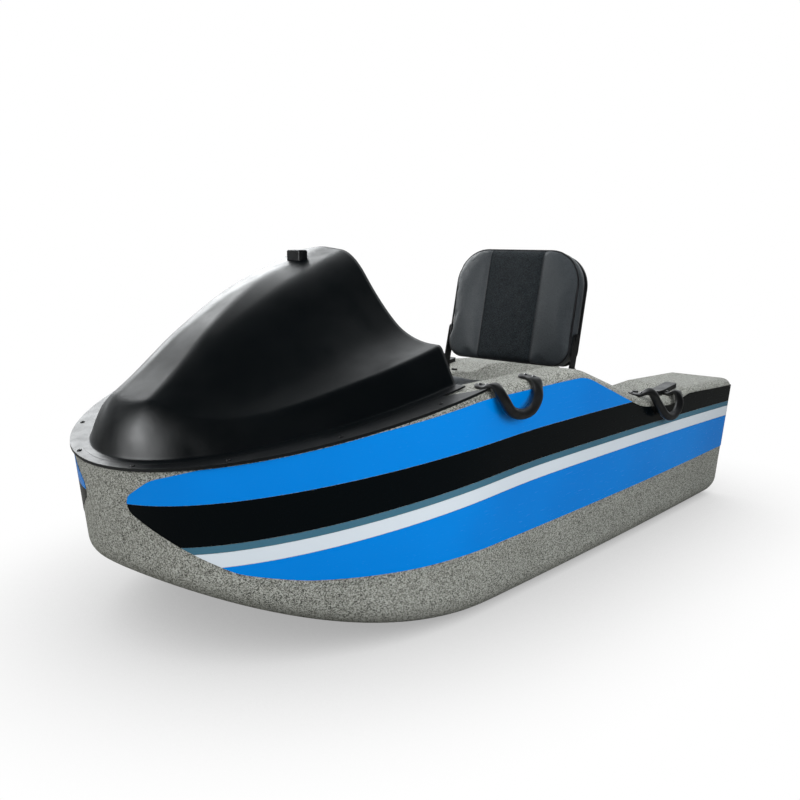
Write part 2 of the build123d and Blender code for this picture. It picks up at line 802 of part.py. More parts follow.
def pump_casing():
    """The fixed duct with its flange, converging nozzle and stator vanes."""
    x0 = tunnel_front_x
    wall = pump_radius - pump_bore
    outline = [(x0, pump_flange_radius), (x0 - 8, pump_flange_radius), (x0 - 8, pump_radius)]
    outline += [(-800, pump_radius), (pump_end_x, nozzle_radius), (pump_end_x, nozzle_bore)]
    outline += [(-800, pump_bore), (x0, pump_bore)]
    casing = turned(outline)
    hub = turned([(-748, 0), (-748, impeller_hub), (-800, impeller_hub), (-848, 6), (-848, 0)])
    vane = Pos(-776, 0, pump_z + (impeller_hub + pump_bore) / 2) * Box(44, 4, pump_bore - impeller_hub + wall)
    for index in range(6):
        turn = Pos(0, 0, pump_z) * Rot(60 * index, 0, 0) * Pos(0, 0, -pump_z)
        casing = casing + turn * vane
    for side in (-1, 1):
        boss = Pos(steer_pivot_x, 0, pump_z + side * 56) * Cylinder(9, 16)
        pin = Pos(steer_pivot_x, 0, pump_z + side * 68) * Cylinder(4, 16)
        casing = casing + (boss - turned([(-800, 0), (-800, pump_bore), (pump_end_x, nozzle_bore), (pump_end_x, 0)])) + pin
    return casing + hub


def steering_nozzle():
    """The turning nozzle, hung on two pins, above and below the fixed one."""
    front_x = steer_pivot_x - 18
    tube = turned([(front_x, 61), (steer_exit_x, 47), (steer_exit_x, 42), (front_x, 56)])
    lip = turned([(steer_exit_x + 8, 50), (steer_exit_x, 50), (steer_exit_x, 44), (steer_exit_x + 8, 44)])
    nozzle = tube + lip
    for side in (-1, 1):
        z = pump_z + side * 67.5
        lug = Pos(steer_pivot_x - 10, 0, z) * Box(44, 24, 6)
        web = Pos(front_x - 8, 0, pump_z + side * 63) * Box(16, 24, 10)
        hole = Pos(steer_pivot_x, 0, z) * Cylinder(4 + pin_clearance, 20)
        inside = turned([(front_x + 1, 0), (front_x + 1, 56.5), (steer_exit_x, 42), (steer_exit_x, 0)])
        nozzle = nozzle + (lug + web - inside) - hole
    return nozzle


def impeller():
    """A hub with twisted blades, each a loft of turned sections along the shaft."""
    start = impeller_x - impeller_length / 2
    hub = Pos(impeller_x, 0, pump_z) * Rot(0, 90, 0) * Cylinder(impeller_hub, impeller_length)
    rotor = hub
    root = impeller_hub - 4
    mid = (root + blade_radius) / 2
    sections = []
    for step in range(4):
        along = step / 3
        blade = Pos(0, mid) * Rectangle(blade_thick / cos(radians(55)), blade_radius - root)
        plane = Plane(origin=(start + along * impeller_length, 0, pump_z), x_dir=(0, 1, 0), z_dir=(1, 0, 0))
        sections.append(plane * Rot(0, 0, blade_twist * along) * blade)
    blade = loft(sections, ruled=True)
    limit = Pos(impeller_x, 0, pump_z) * Rot(0, 90, 0) * Cylinder(blade_radius, impeller_length)
    for index in range(blade_count):
        turn = Pos(0, 0, pump_z) * Rot(360 / blade_count * index, 0, 0) * Pos(0, 0, -pump_z)
        rotor = rotor + (turn * blade & limit)
    return rotor


def drive_shaft():
    x0 = impeller_x + impeller_length / 2
    x1 = motor_rear_x - 2
    return Pos((x0 + x1) / 2, 0, pump_z) * Rot(0, 90, 0) * Cylinder(shaft_radius, x1 - x0)


def ride_plate():
    """The flat plate under the pump, set into the hull's bottom."""
    z0 = keel_clearance
    rear_x = steer_pivot_x + 10
    plate = round_block(rear_x, tunnel_front_x - 1, -plate_half, plate_half, z0, z0 + plate_thick, 6)
    return plate


def intake_grille():
    """A frame with bars along the duct's mouth."""
    x0 = tunnel_front_x
    x1 = duct_front_x + 11
    z1 = keel_clearance + grille_thick
    grille = box(x0, x1, -grille_half, grille_half, keel_clearance, z1)
    slot_count = 5
    pitch = 2 * duct_half / slot_count
    for index in range(slot_count):
        y = -duct_half + pitch * (index + 0.5)
        slot = box(x0 + 12, x1 - 24, y - pitch / 2 + 4, y + pitch / 2 - 4, 0, z1 + 1)
        grille = grille - slot
    return grille


def drain_plug():
    face_x = transom_x + transom_rake * (transom_level - plug_z)
    plug = Pos(face_x, plug_y, plug_z) * Rot(0, 90, 0) * Cylinder(plug_radius, 2 * plug_stand)
    return plug - hull_form()


def motor():
    """The electric motor and its battery, as one plain block under the bench."""
    side = motor_half - 2
    x0 = motor_rear_x + 2
    z1 = motor_base_z + motor_height - 2
    return box(x0, x0 + motor_length - 4, -side, side, motor_base_z, z1)


# Edge lines of the films: height at the crown, and the radius forward of it
edge_over = (700.0, 4800.0)
edge_black = (407.5, 4800.0)
edge_line = (332.0, 4150.0)
edge_white = (316.5, 4150.0)
edge_lower = (285.0, 4150.0)
edge_under = (-100.0, 4150.0)

# Films, each with its upper and its lower edge line
film_table = {
    "stripe_blue_upper": (edge_over, edge_black),
    "stripe_black": (edge_black, edge_line),
    "stripe_line": (edge_line, edge_white),
    "stripe_white": (edge_white, edge_lower),
    "stripe_blue_lower": (edge_lower, edge_under),
}

pieces = {
    "hull": hull,
    "cowl": cowl,
    "cowl_cap": cowl_cap,
    "dash_panel": dash_panel,
    "dash_display": dash_display,
    "steering_column": steering_column,
    "steering_shaft": steering_shaft,
    "steering_wheel": steering_wheel,
    "wheel_cap": wheel_cap,
    "throttle_pedal": throttle_pedal,
    "foot_rests": foot_rests,
    "seat_pan": seat_pan,
    "seat_cushion": seat_cushion,
    "seat_hinges": seat_hinges,
    "backrest_cushion": backrest_cushion,
    "backrest_shell": backrest_shell,
    "backrest_arms": backrest_arms,
    "front_handles": front_handles,
    "rear_handles": rear_handles,
    "rear_handle_brackets": rear_handle_brackets,
    "deck_eyelets": deck_eyelets,
    "hatch_frame": hatch_frame,
    "hatch_lid": hatch_lid,
    "hatch_hinges": hatch_hinges,
    "hatch_latches": hatch_latches,
    "pump_casing": pump_casing,
    "steering_nozzle": steering_nozzle,
    "impeller": impeller,
    "drive_shaft": drive_shaft,
    "ride_plate": ride_plate,
    "intake_grille": intake_grille,
    "drain_plug": drain_plug,
    "motor": motor,
}

os.makedirs("parts", exist_ok=True)
for name, make in pieces.items():
    export_step(make(), f"parts/{name}.step")
skin = film_skin()
for name, (upper, lower) in film_table.items():
    port = skin & film_band(upper, lower)
    export_step(both_sides(port), f"parts/{name}.step")
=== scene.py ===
import math

import bmesh
import bpy
from mathutils import Matrix, Vector
from mathutils.bvhtree import BVHTree


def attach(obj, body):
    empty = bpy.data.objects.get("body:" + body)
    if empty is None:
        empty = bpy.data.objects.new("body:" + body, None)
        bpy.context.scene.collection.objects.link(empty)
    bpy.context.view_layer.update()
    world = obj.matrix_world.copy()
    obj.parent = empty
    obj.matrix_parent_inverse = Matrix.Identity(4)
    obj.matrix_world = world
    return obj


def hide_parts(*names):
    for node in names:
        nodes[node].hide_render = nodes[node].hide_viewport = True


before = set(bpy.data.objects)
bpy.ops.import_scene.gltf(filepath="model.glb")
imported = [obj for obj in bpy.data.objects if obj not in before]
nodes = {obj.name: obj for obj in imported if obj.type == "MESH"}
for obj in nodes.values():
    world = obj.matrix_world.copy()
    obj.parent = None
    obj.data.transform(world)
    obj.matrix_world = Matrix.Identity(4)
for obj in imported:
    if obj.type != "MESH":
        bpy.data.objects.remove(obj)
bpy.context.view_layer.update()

scene = bpy.context.scene


# ---------------------------------------------------------------- materials
class Shader:
    """A short way to write a node material, textured in the piece's own space, in metres."""

    def __init__(self, name, color=(0.5, 0.5, 0.5), rough=0.5, metallic=0.0, coat=0.0,
                 coat_rough=0.05, spec=0.5):
        self.mat = bpy.data.materials.new(name)
        self.mat.use_nodes = True
        self.tree = self.mat.node_tree
        self.bsdf = next(n for n in self.tree.nodes if n.type == "BSDF_PRINCIPLED")
        self.bsdf.inputs["Base Color"].default_value = (*color, 1)
        self.bsdf.inputs["Roughness"].default_value = rough
        self.bsdf.inputs["Metallic"].default_value = metallic
        self.bsdf.inputs["Coat Weight"].default_value = coat
        self.bsdf.inputs["Coat Roughness"].default_value = coat_rough
        self.bsdf.inputs["Specular IOR Level"].default_value = spec
        self.coord = self.tree.nodes.new("ShaderNodeTexCoord").outputs["Object"]
        self.normal = None

    def node(self, kind, values=None, **props):
        n = self.tree.nodes.new(kind)
        for key, value in props.items():
            setattr(n, key, value)
        for key, value in (values or {}).items():
            if isinstance(value, bpy.types.NodeSocket):
                self.tree.links.new(value, n.inputs[key])
            else:
                n.inputs[key].default_value = value
        return n

    def noise(self, scale, detail=3.0, rough=0.5, vector=None):
        values = {"Vector": vector or self.coord, "Scale": scale, "Detail": detail, "Roughness": rough}
        return self.node("ShaderNodeTexNoise", values).outputs["Fac"]

    def voronoi(self, scale, feature="F1", output="Distance"):
        values = {"Vector": self.coord, "Scale": scale}
        return self.node("ShaderNodeTexVoronoi", values, feature=feature).outputs[output]

    def ramp(self, fac, low, high, a=0.0, b=1.0):
        values = {"Value": fac, "From Min": low, "From Max": high, "To Min": a, "To Max": b}
        return self.node("ShaderNodeMapRange", values, clamp=True).outputs["Result"]

    def math(self, op, a, b=0.0):
        return self.node("ShaderNodeMath", {0: a, 1: b}, operation=op).outputs[0]

    def mix(self, fac, a, b):
        n = self.node("ShaderNodeMix", data_type="RGBA")
        for socket, value in ((n.inputs[0], fac), (n.inputs[6], a), (n.inputs[7], b)):
            if isinstance(value, bpy.types.NodeSocket):
                self.tree.links.new(value, socket)
            else:
                socket.default_value = value if isinstance(value, float) else (*value, 1)
        return n.outputs[2]

    def stretched(self, scale):
        return self.node("ShaderNodeMapping", {"Vector": self.coord, "Scale": scale}).outputs[0]

    def axis(self, name):
        return self.node("ShaderNodeSeparateXYZ", {0: self.coord}).outputs[name]

    def color(self, value):
        self.tree.links.new(value, self.bsdf.inputs["Base Color"])

    def rough(self, value):
        self.tree.links.new(value, self.bsdf.inputs["Roughness"])

    def bump(self, height, distance, strength=1.0):
        values = {"Height": height, "Distance": distance, "Strength": strength}
        if self.normal:
            values["Normal"] = self.normal
        self.normal = self.node("ShaderNodeBump", values).outputs[0]
        self.tree.links.new(self.normal, self.bsdf.inputs["Normal"])


def granite(name, light, mid, dark):
    """Moulded plastic with black and white grains in it."""
    s = Shader(name, rough=0.6, spec=0.3)
    cells = s.voronoi(560, output="Color")
    pick = s.node("ShaderNodeSeparateColor", {0: cells}).outputs[0]
    clump = s.ramp(s.noise(210, 3.0, 0.6), 0.3, 0.7, -0.2, 0.2)
    pick = s.math("ADD", pick, clump)
    tone = s.mix(s.ramp(pick, 0.18, 0.34), dark, mid)
    tone = s.mix(s.ramp(pick, 0.58, 0.78), tone, light)
    patch = s.noise(5, 3.0, 0.5)
    tone = s.mix(s.ramp(patch, 0.3, 0.7, 0.0, 0.12), tone, dark)
    s.color(tone)
    s.rough(s.ramp(s.noise(120, 2.0), 0.3, 0.7, 0.5, 0.68))
    s.bump(s.noise(800, 2.0, 0.7), 0.0004, 0.5)
    s.bump(s.noise(60, 2.0), 0.0012, 0.15)
    return s.mat


def film(name, tone, deep, spec=0.2):
    """Gloss film, with faint waves where it lies on the moulding and hairline scuffs."""
    s = Shader(name, tone, rough=0.22, spec=spec, coat=spec / 2, coat_rough=0.08)
    s.color(s.mix(s.ramp(s.noise(3.2, 2.0), 0.35, 0.7), tone, deep))
    scuff = s.noise(60, 4.0, 0.6, s.stretched((0.5, 6, 6)))
    s.rough(s.ramp(scuff, 0.45, 0.75, 0.18, 0.32))
    s.bump(s.noise(14, 2.0), 0.0016, 0.18)
    s.bump(s.noise(420, 2.0), 0.00015, 0.15)
    return s.mat


def moulded(name, tone, rough, grain, depth):
    """Moulded plastic with a leathery fine grain, and paler patches where it is worn."""
    s = Shader(name, tone, rough=rough)
    lift = tuple(min(1.0, c * 1.5 + 0.001) for c in tone)
    s.color(s.mix(s.ramp(s.noise(7, 4.0), 0.42, 0.72, 0.0, 0.5), tone, lift))
    s.rough(s.ramp(s.noise(26, 4.0), 0.3, 0.7, rough - 0.05, rough + 0.07))
    s.bump(s.voronoi(grain), depth, 0.35)
    s.bump(s.noise(grain / 8, 3.0), depth * 2, 0.2)
    return s.mat


def metal(name, tone, rough, stretch=(1, 1, 1), cast=False):
    """Bare metal: brushed along the axis that isn't stretched, or cast."""
    s = Shader(name, tone, rough=rough, metallic=1.0)
    s.color(s.mix(s.ramp(s.noise(18, 4.0), 0.35, 0.7), tone, tuple(c * 0.78 for c in tone)))
    streak = s.noise(90, 4.0, 0.6, s.stretched(stretch))
    s.rough(s.ramp(streak, 0.3, 0.7, rough - 0.07, rough + 0.1))
    s.bump(s.noise(240 if cast else 400, 3.0), 0.0004 if cast else 0.0001, 0.35)
    return s.mat


def rubber(name, tone):
    """Soft black rubber with a faint bloom."""
    s = Shader(name, tone, rough=0.42, coat=0.12, coat_rough=0.3)
    s.color(s.mix(s.ramp(s.noise(22, 4.0), 0.4, 0.7), tone, tuple(c * 2.0 + 0.004 for c in tone)))
    s.rough(s.ramp(s.noise(60, 3.0), 0.3, 0.7, 0.34, 0.5))
    s.bump(s.noise(700, 2.0), 0.0002, 0.4)
    return s.mat


VINYL = (0.062, 0.07, 0.076)
# The darker vinyl tone: painted shade in the grain's hollows, and random darker mottling
VINYL_SHADE_AND_MOTTLE = (0.026, 0.03, 0.034)
MESH = (0.03, 0.04, 0.046)
# The mesh's holes: a near-black that is painted shade in them
MESH_HOLE_SHADE = (0.006, 0.008, 0.01)


def vinyl(s):
    """Grained marine vinyl: its colour and its height, with painted shade in the grain's hollows and
    darker mottling at random.
    """
    pebble = s.voronoi(640, "SMOOTH_F1")
    crease = s.voronoi(300, "DISTANCE_TO_EDGE")
    # Painted shade: where the pebble grain sinks, the vinyl is drawn in the darker tone; the next line
    # adds random darker mottling
    tone = s.mix(s.ramp(pebble, 0.1, 0.7), VINYL, VINYL_SHADE_AND_MOTTLE)
    tone = s.mix(s.ramp(s.noise(9, 3.0), 0.35, 0.7, 0.0, 0.35), tone, VINYL_SHADE_AND_MOTTLE)
    height = s.math("ADD", s.math("MULTIPLY", pebble, -0.6), s.ramp(crease, 0.0, 0.1, 0.0, 0.5))
    return tone, height


def seat_cover(name, across, half):
    """Vinyl with a band of spacer mesh in the middle, by the pad's own width."""
    s = Shader(name, rough=0.42)
    tone, height = vinyl(s)
    side = s.math("ABSOLUTE", s.axis(across))
    inside = s.math("LESS_THAN", side, half)
    cells = s.voronoi(430)
    # Painted shade: the mesh's sunken holes are drawn near black
    net = s.mix(s.ramp(cells, 0.25, 0.55), MESH, MESH_HOLE_SHADE)
    s.color(s.mix(inside, tone, net))
    smear = s.ramp(s.noise(40, 3.0), 0.3, 0.7, 0.36, 0.48)
    s.rough(s.math("ADD", s.math("MULTIPLY", inside, 0.38), smear))
    s.bump(height, 0.0005, 0.6)
    s.bump(s.math("MULTIPLY", s.math("MULTIPLY", cells, inside), -1.0), 0.0012, 0.8)
    return s.mat


def thread(name, tone):
    """Twisted sewing thread."""
    s = Shader(name, tone, rough=0.7)
    s.color(s.mix(s.noise(900, 2.0), tone, tuple(c * 0.6 for c in tone)))
    s.bump(s.noise(1600, 2.0), 0.0002, 0.5)
    return s.mat


GRAIN_LIGHT = (0.53, 0.53, 0.485)
GRAIN_MID = (0.285, 0.285, 0.25)
GRAIN_DARK = (0.07, 0.07, 0.06)

hull_mat = granite("hull_granite", GRAIN_LIGHT, GRAIN_MID, GRAIN_DARK)
blue = film("film_blue", (0.0, 0.255, 0.83), (0.0, 0.225, 0.76), 0.14)
black_film = film("film_black", (0.0008, 0.0022, 0.0032), (0.0006, 0.0018, 0.0026), 0.09)
steel_film = film("film_steel", (0.07, 0.19, 0.27), (0.05, 0.15, 0.22))
white_film = film("film_white", (0.80, 0.86, 0.92), (0.76, 0.82, 0.88))
cowl_mat = moulded("cowl_plastic", (0.0012, 0.002, 0.0026), 0.36, 1100.0, 0.0002)
black_mat = moulded("black_plastic", (0.0045, 0.0048, 0.0052), 0.36, 1300.0, 0.0002)
grip_mat = rubber("grip_rubber", (0.004, 0.0042, 0.0045))
steel_mat = metal("brushed_steel", (0.56, 0.56, 0.57), 0.3, (1, 12, 12))
pump_mat = metal("cast_alloy", (0.42, 0.43, 0.45), 0.42, cast=True)
screw_mat = metal("screw_steel", (0.62, 0.62, 0.63), 0.22)
piping_mat = rubber("piping", (0.006, 0.006, 0.007))
thread_mat = thread("thread", (0.06, 0.062, 0.066))

looks = {
    hull_mat: ["hull"],
    blue: ["stripe_blue_upper", "stripe_blue_lower"],
    black_film: ["stripe_black"],
    steel_film: ["stripe_line"],
    white_film: ["stripe_white"],
    cowl_mat: ["cowl", "dash_panel"],
    black_mat: ["cowl_cap", "dash_display", "steering_column", "wheel_cap", "throttle_pedal",
                "foot_rests", "seat_pan", "seat_hinges", "backrest_shell", "backrest_arms",
                "rear_handle_brackets", "deck_eyelets", "hatch_frame", "hatch_lid", "hatch_latches",
                "drain_plug"],
    grip_mat: ["steering_wheel"],
    steel_mat: ["steering_shaft", "hatch_hinges", "impeller", "drive_shaft", "intake_grille"],
    pump_mat: ["pump_casing", "steering_nozzle", "ride_plate", "motor"],
}
for mat, names in looks.items():
    for name in names:
        mesh = nodes[name].data
        mesh.materials.clear()
        mesh.materials.append(mat)


# ------------------------------------------------------------------ helpers
def new_object(name, mesh, mat, body):
    """An object of this mesh that rides on a body."""
    obj = bpy.data.objects.new(name, mesh)
    scene.collection.objects.link(obj)
    if mat:
        mesh.materials.append(mat)
    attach(obj, body)
    return obj


def finish_bmesh(bm, name):
    mesh = bpy.data.meshes.new(name)
    bmesh.ops.recalc_face_normals(bm, faces=bm.faces)
    bm.to_mesh(mesh)
    bm.free()
    mesh.shade_smooth()
    return mesh


def turned_profile(bm, matrix, profile, steps=20):
    """A solid of revolution about the matrix's Z, from (radius, height) rows."""
    rings = []
    for radius, height in profile:
        ring = []
        for k in range(steps):
            a = 2 * math.pi * k / steps
            spot = Vector((radius * math.cos(a), radius * math.sin(a), height))
            ring.append(bm.verts.new(matrix @ spot))
        rings.append(ring)
    for low, high in zip(rings, rings[1:]):
        for k in range(steps):
            bm.faces.new((low[k], low[(k + 1) % steps], high[(k + 1) % steps], high[k]))
    bm.faces.new(rings[-1])
    bm.faces.new(reversed(rings[0]))


# A direction that no screw and no stitch points along
ASIDE = Vector((0.13, 0.31, 0.94))


def frame_at(point, normal):
    """A frame at a point, with its Z along the normal."""
    z = Vector(normal).normalized()
    x = ASIDE.cross(z).normalized()
    y = z.cross(x)
    m = Matrix((x, y, z)).transposed().to_4x4()
    m.translation = Vector(point)
    return m


def screw(bm, point, normal, r, h):
    """A pan-head screw of radius r and height h, with a socket."""
    head = [(r * 0.97, -0.001), (r, h * 0.25), (r * 0.93, h * 0.68), (r * 0.72, h * 0.93), (r * 0.46, h)]
    head += [(r * 0.42, h), (r * 0.4, h * 0.35), (0.0001, h * 0.3)]
    turned_profile(bm, frame_at(point, normal), head)


def tree_of(*names):
    """A ray-casting tree of these CAD nodes, at rest."""
    verts, faces = [], []
    for name in names:
        mesh = nodes[name].data
        base = len(verts)
        verts += [v.co.copy() for v in mesh.vertices]
        faces += [[base + i for i in p.vertices] for p in mesh.polygons]
    return BVHTree.FromPolygons(verts, faces)


def drop(tree, x, y):
    """The highest point of the tree's surface at this place, and its normal."""
    hit, normal, _, _ = tree.ray_cast(Vector((x, y, 0.9)), Vector((0, 0, -1)))
    return hit, normal


def tube(name, points, radius, mat, body, closed=False):
    """A round cord through these points."""
    curve = bpy.data.curves.new(name, "CURVE")
    curve.dimensions = "3D"
    curve.bevel_depth = radius
    curve.bevel_resolution = 3
    curve.use_fill_caps = True
    spline = curve.splines.new("POLY")
    spline.points.add(len(points) - 1)
    for p, q in zip(spline.points, points):
        p.co = (*q, 1)
    spline.use_cyclic_u = closed
    temp = bpy.data.objects.new(name + "_curve", curve)
    scene.collection.objects.link(temp)
    bpy.context.view_layer.update()
    mesh = bpy.data.meshes.new_from_object(temp.evaluated_get(bpy.context.evaluated_depsgraph_get()))
    bpy.data.objects.remove(temp)
    bpy.data.curves.remove(curve)
    mesh.materials.clear()
    mesh.shade_smooth()
    mesh.name = name
    return new_object(name, mesh, mat, body)


def rounded_outline(half_x, y0, y1, r_low, r_high, steps=14):
    """Points round a rectangle with its own corner radius at the low and the high end."""
    corners = [(half_x - r_low, y0 + r_low, r_low, -90), (half_x - r_high, y1 - r_high, r_high, 0)]
    corners += [(-half_x + r_high, y1 - r_high, r_high, 90), (-half_x + r_low, y0 + r_low, r_low, 180)]
    points = []
    for cx, cy, r, start in corners:
        for k in range(steps + 1):
            a = math.radians(start + 90 * k / steps)
            points.append((cx + r * math.cos(a), cy + r * math.sin(a)))
    return points


# --------------------------------------------------------------- soft pieces
def pad_start(outline, low, high, edge):
    """A closed pad from an outline: flat under, with a rounded upper edge."""
    bm = bmesh.new()
    centre = Vector((sum(p[0] for p in outline), sum(p[1] for p in outline))) / len(outline)
    rings = []
    levels = [(low, 0.55 * edge), (low + 0.4 * edge, 0.12 * edge), (low + edge, 0.0), (high - edge, 0.0)]
    levels += [(high - 0.62 * edge, 0.08 * edge), (high - 0.29 * edge, 0.29 * edge), (high, 0.75 * edge)]
    for z, inset in levels:
        ring = []
        for x, y in outline:
            v = Vector((x, y)) - centre
            v *= 1 - inset / v.length
            ring.append(bm.verts.new((centre.x + v.x, centre.y + v.y, z)))
        rings.append(ring)
    n = len(outline)
    for a, b in zip(rings, rings[1:]):
        for k in range(n):
            bm.faces.new((a[k], a[(k + 1) % n], b[(k + 1) % n], b[k]))
    bm.faces.new(rings[-1])
    bm.faces.new(reversed(rings[0]))
    return bm


# The pads' cloth: its grain, how far it may swell, its pressure, its seams' depth, its frames
VOXEL = 0.006
SWELL = 0.012
PRESSURE = 4.0
SEAM_DEPTH = 0.004
CLOTH_FRAMES = 20


def soft_pad(name, matrix, outline, low, high, edge, seam):
    """A stuffed pad: cloth under pressure, held at its underside and along its seams."""
    mesh = finish_bmesh(pad_start(outline, low, high, edge), name)
    obj = bpy.data.objects.new(name, mesh)
    scene.collection.objects.link(obj)
    bpy.context.view_layer.objects.active = obj
    for other in bpy.context.selected_objects:
        other.select_set(False)
    obj.select_set(True)
    remesh = obj.modifiers.new("remesh", "REMESH")
    remesh.mode = "VOXEL"
    remesh.voxel_size = VOXEL
    bpy.ops.object.modifier_apply(modifier="remesh")
    mesh = obj.data
    start = [v.co.copy() for v in mesh.vertices]
    group = obj.vertex_groups.new(name="pin")
    for v in mesh.vertices:
        p = v.co
        pinned = p.z < low + 0.5 * edge
        gap = seam(p.x, p.y)
        if p.z > high - edge and gap < VOXEL * 1.3:
            v.co.z -= SEAM_DEPTH * (1 - gap / (VOXEL * 1.3)) ** 0.5
            pinned = True
        if pinned:
            group.add([v.index], 1.0, "REPLACE")
    cloth = obj.modifiers.new("cloth", "CLOTH")
    cloth.settings.vertex_group_mass = "pin"
    cloth.settings.use_pressure = True
    cloth.settings.uniform_pressure_force = PRESSURE
    cloth.settings.effector_weights.gravity = 0
    cloth.settings.quality = 5
    cloth.settings.mass = 0.3
    cloth.settings.tension_stiffness = 12
    cloth.settings.compression_stiffness = 12
    cloth.settings.bending_stiffness = 0.6
    cloth.point_cache.frame_start = 1
    cloth.point_cache.frame_end = CLOTH_FRAMES
    for f in range(1, CLOTH_FRAMES + 1):
        scene.frame_set(f)
    bpy.ops.object.modifier_apply(modifier="cloth")
    scene.frame_set(1)
    for v, p in zip(obj.data.vertices, start):
        move = v.co - p
        if move.length > SWELL:
            v.co = p + move * (SWELL / move.length)
    smooth = obj.modifiers.new("smooth", "SMOOTH")
    smooth.factor = 0.5
    smooth.iterations = 3
    bpy.ops.object.modifier_apply(modifier="smooth")
    sub = obj.modifiers.new("sub", "SUBSURF")
    sub.levels = 1
    bpy.ops.object.modifier_apply(modifier="sub")
    obj.data.shade_smooth()
    obj.matrix_world = matrix
    return obj


def pad_tree(obj):
    verts = [v.co.copy() for v in obj.data.vertices]
    return BVHTree.FromPolygons(verts, [list(p.vertices) for p in obj.data.polygons])


def along_pad(obj, tree, points, lift=0.0):
    """The pad's surface under these points of its own plane, in the row frame."""
    found = []
    for x, y in points:
        hit, normal, _, _ = tree.ray_cast(Vector((x, y, 0.3)), Vector((0, 0, -1)))
        if hit:
            found.append(obj.matrix_world @ (hit + normal * lift))
    return found


def straight(x0, y0, x1, y1, count=60):
    """Points along a straight line in a pad's plane."""
    return [(x0 + (x1 - x0) * k / count, y0 + (y1 - y0) * k / count) for k in range(count + 1)]


# One stitch, and the gap to the next
STITCH = 0.0032
STITCH_GAP = 0.0018
STITCH_RADIUS = 0.00045


def stitches(name, points, body):
    """A row of raised stitches along a path."""
    bm = bmesh.new()
    travelled = 0.0
    r = STITCH_RADIUS
    profile = [(r * 0.3, 0), (r, STITCH * 0.2), (r, STITCH * 0.8), (r * 0.3, STITCH)]
    for a, b in zip(points, points[1:]):
        run = (b - a).length
        while travelled < run:
            place = frame_at(a.lerp(b, travelled / run), b - a)
            turned_profile(bm, place, profile, 6)
            travelled += STITCH + STITCH_GAP
        travelled -= run
    return new_object(name, finish_bmesh(bm, name), thread_mat, body)


# Both pads' half width, and their middle panel's half width
PAD_HALF = 0.2215
PANEL = 0.0945
LEAN = math.radians(12.4)
BACK_FOOT = (-0.340, 0, 0.460)
BACK_HEIGHT = (0.004, 0.339)
SEAT_PLACE = (-0.13, 0, 0.3323)
SEAT_REACH = 0.211

back_matrix = Matrix(((0, -math.sin(LEAN), math.cos(LEAN)),
                      (1, 0, 0),
                      (0, math.cos(LEAN), math.sin(LEAN)))).to_4x4()
back_matrix.translation = BACK_FOOT
back_outline = rounded_outline(PAD_HALF, *BACK_HEIGHT, 0.055, 0.105)
back = soft_pad("backrest_pad", back_matrix, back_outline, -0.057, -0.002, 0.020,
                lambda x, y: abs(abs(x) - PANEL))
back.data.materials.append(seat_cover("seat_back_cover", "X", PANEL))
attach(back, "backrest")
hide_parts("backrest_cushion")

across_outline = rounded_outline(PAD_HALF, -SEAT_REACH, SEAT_REACH, 0.05, 0.05)
seat_outline = [(x, y) for y, x in across_outline][::-1]
cushion = soft_pad("seat_pad", Matrix.Translation(SEAT_PLACE), seat_outline, 0.0, 0.0655, 0.02,
                   lambda x, y: abs(abs(y) - PANEL))
cushion.data.materials.append(seat_cover("seat_base_cover", "Y", PANEL))
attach(cushion, "kart")
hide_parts("seat_cushion")


def edge_piping(name, obj, outline, z, body, radius=0.0028):
    """A piping round the pad's side, at this height of its own space."""
    tree = pad_tree(obj)
    middle = [sum(p[i] for p in outline) / len(outline) for i in (0, 1)]
    centre = Vector((*middle, z))
    points = []
    for x, y in outline:
        out = Vector((x, y, z)) - centre
        hit, _, _, _ = tree.ray_cast(centre + out * 1.4, -out.normalized())
        if hit:
            points.append(obj.matrix_world @ (hit + out.normalized() * radius * 0.25))
    return tube(name, points, radius, piping_mat, body, closed=True)


edge_piping("backrest_piping_front", back, back_outline, -0.016, "backrest")
edge_piping("backrest_piping_rear", back, back_outline, -0.052, "backrest", 0.0022)
edge_piping("seat_piping_top", cushion, seat_outline, 0.052, "kart")
edge_piping("seat_piping_base", cushion, seat_outline, 0.006, "kart", 0.0022)
back_tree = pad_tree(back)
cushion_tree = pad_tree(cushion)
SEAM_RADIUS = 0.0013
SEAM_SINK = -0.0006
STITCH_LIFT = 0.0001
for side in (-1, 1):
    tag = "port" if side > 0 else "starboard"
    seam_at = side * PANEL
    stitch_at = side * (PANEL + 0.006)
    points = along_pad(back, back_tree, straight(seam_at, 0.012, seam_at, 0.333), SEAM_SINK)
    tube(f"backrest_seam_{tag}", points, SEAM_RADIUS, piping_mat, "backrest")
    points = along_pad(back, back_tree, straight(stitch_at, 0.015, stitch_at, 0.33), STITCH_LIFT)
    stitches(f"backrest_stitches_{tag}", points, "backrest")
    points = along_pad(cushion, cushion_tree, straight(-0.205, seam_at, 0.205, seam_at), SEAM_SINK)
    tube(f"seat_seam_{tag}", points, SEAM_RADIUS, piping_mat, "kart")
    points = along_pad(cushion, cushion_tree, straight(-0.2, stitch_at, 0.2, stitch_at), STITCH_LIFT)
    stitches(f"seat_stitches_{tag}", points, "kart")


# ------------------------------------------------------------------ the cowl
# The flange and all on it are ellipses about one centre
CENTRE_X = 0.314
FLANGE = (0.686, 0.492)
# The half axes of the plinth's foot, and of the skin, which laps a little over the flange
FOOT = (0.654, 0.409)
STRIP = (0.669, 0.4355)
REAR_X = 0.3829
# The flange's plane: its height at a place, that place, and its slope
FLANGE_TOP = (0.401, 0.994, 0.2015)
# The knee between haunch and valley: its shares of their distance and of their height
KNEE_OUT = 0.57
KNEE_UP = 0.29
# How far the skin's hem lies above the flange, how softly it meets it, and how thick it is
HEM_LIFT = 0.0004
HEM_SOFT = 0.004
SKIN_THICK = 0.004
